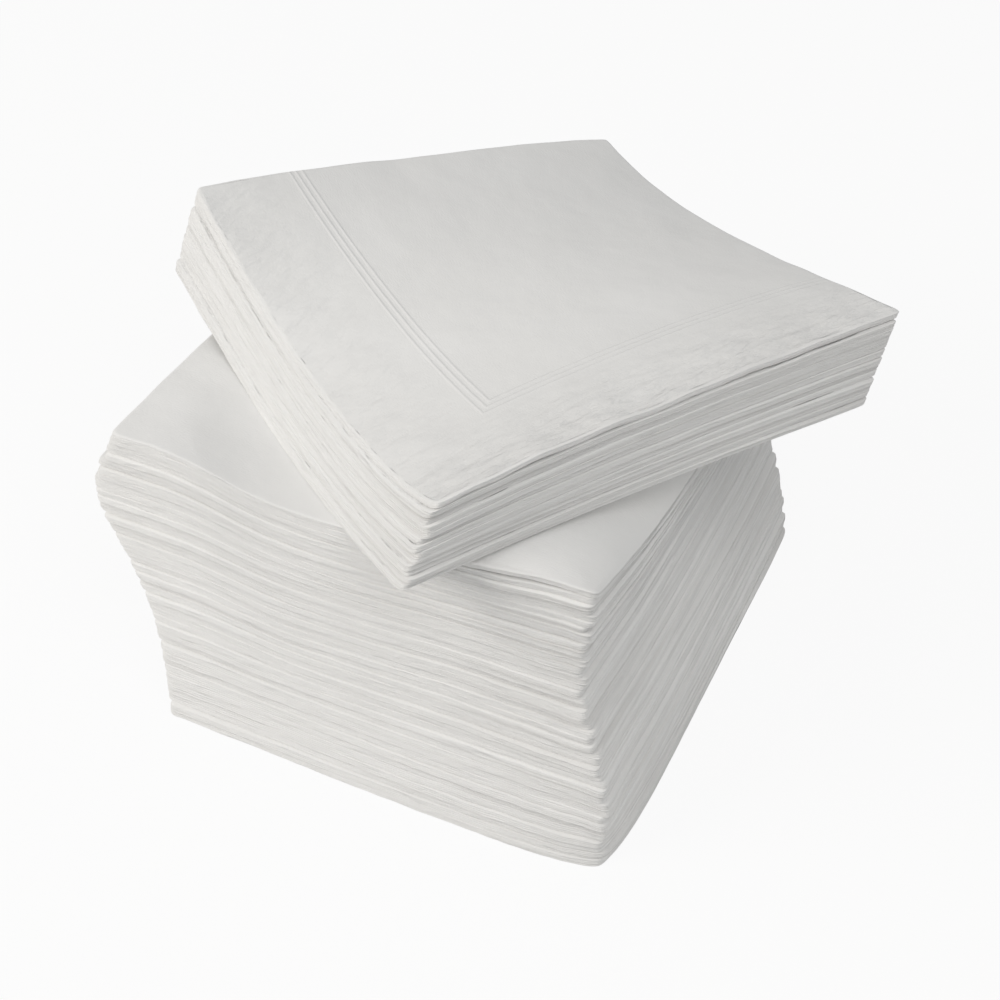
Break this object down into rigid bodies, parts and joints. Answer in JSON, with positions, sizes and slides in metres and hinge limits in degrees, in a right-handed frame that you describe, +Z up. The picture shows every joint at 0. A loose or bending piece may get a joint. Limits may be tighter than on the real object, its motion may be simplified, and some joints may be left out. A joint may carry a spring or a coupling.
{
  "type": "stack of paper napkins",
  "caption": "Loose stack of folded square paper napkins: a thinner, sagging pile lies askew on a taller leaning pile.",
  "frame": {"origin": "middle of the lowest napkin's resting face, on the table", "axes": "+Z up; +Y from the cut leaves in front to the first fold behind; +X from the second fold to the cut leaves at the right of the lowest napkin"},
  "size_m": [0.1797, 0.1858, 0.1171],
  "materials": {
    "paper": "matte, finely creped white tissue"
  },
  "bodies": {
    "root": {"lower_napkin_01": "paper", "lower_napkin_02": "paper", "lower_napkin_03": "paper", "lower_napkin_04": "paper", "lower_napkin_05": "paper", "lower_napkin_06": "paper", "lower_napkin_07": "paper", "lower_napkin_08": "paper", "lower_napkin_09": "paper", "lower_napkin_10": "paper", "lower_napkin_11": "paper", "lower_napkin_12": "paper", "lower_napkin_13": "paper", "lower_napkin_14": "paper", "lower_napkin_15": "paper", "lower_napkin_16": "paper", "lower_napkin_17": "paper", "lower_napkin_18": "paper", "lower_napkin_19": "paper", "lower_napkin_20": "paper", "lower_napkin_21": "paper", "lower_napkin_22": "paper", "lower_napkin_23": "paper", "lower_napkin_24": "paper", "lower_napkin_25": "paper", "lower_napkin_26": "paper", "lower_napkin_27": "paper", "lower_napkin_28": "paper", "lower_napkin_29": "paper", "lower_napkin_30": "paper", "lower_napkin_31": "paper", "lower_napkin_32": "paper", "lower_napkin_33": "paper", "lower_napkin_34": "paper", "lower_napkin_35": "paper", "lower_napkin_36": "paper", "lower_napkin_37": "paper", "lower_napkin_38": "paper", "lower_napkin_39": "paper", "lower_napkin_40": "paper", "lower_napkin_41": "paper", "lower_napkin_42": "paper", "lower_napkin_43": "paper", "upper_napkin_01": "paper", "upper_napkin_02": "paper", "upper_napkin_03": "paper", "upper_napkin_04": "paper", "upper_napkin_05": "paper", "upper_napkin_06": "paper", "upper_napkin_07": "paper", "upper_napkin_08": "paper", "upper_napkin_09": "paper", "upper_napkin_10": "paper", "upper_napkin_11": "paper", "upper_napkin_12": "paper", "upper_napkin_13": "paper"}
  },
  "joints": []
}
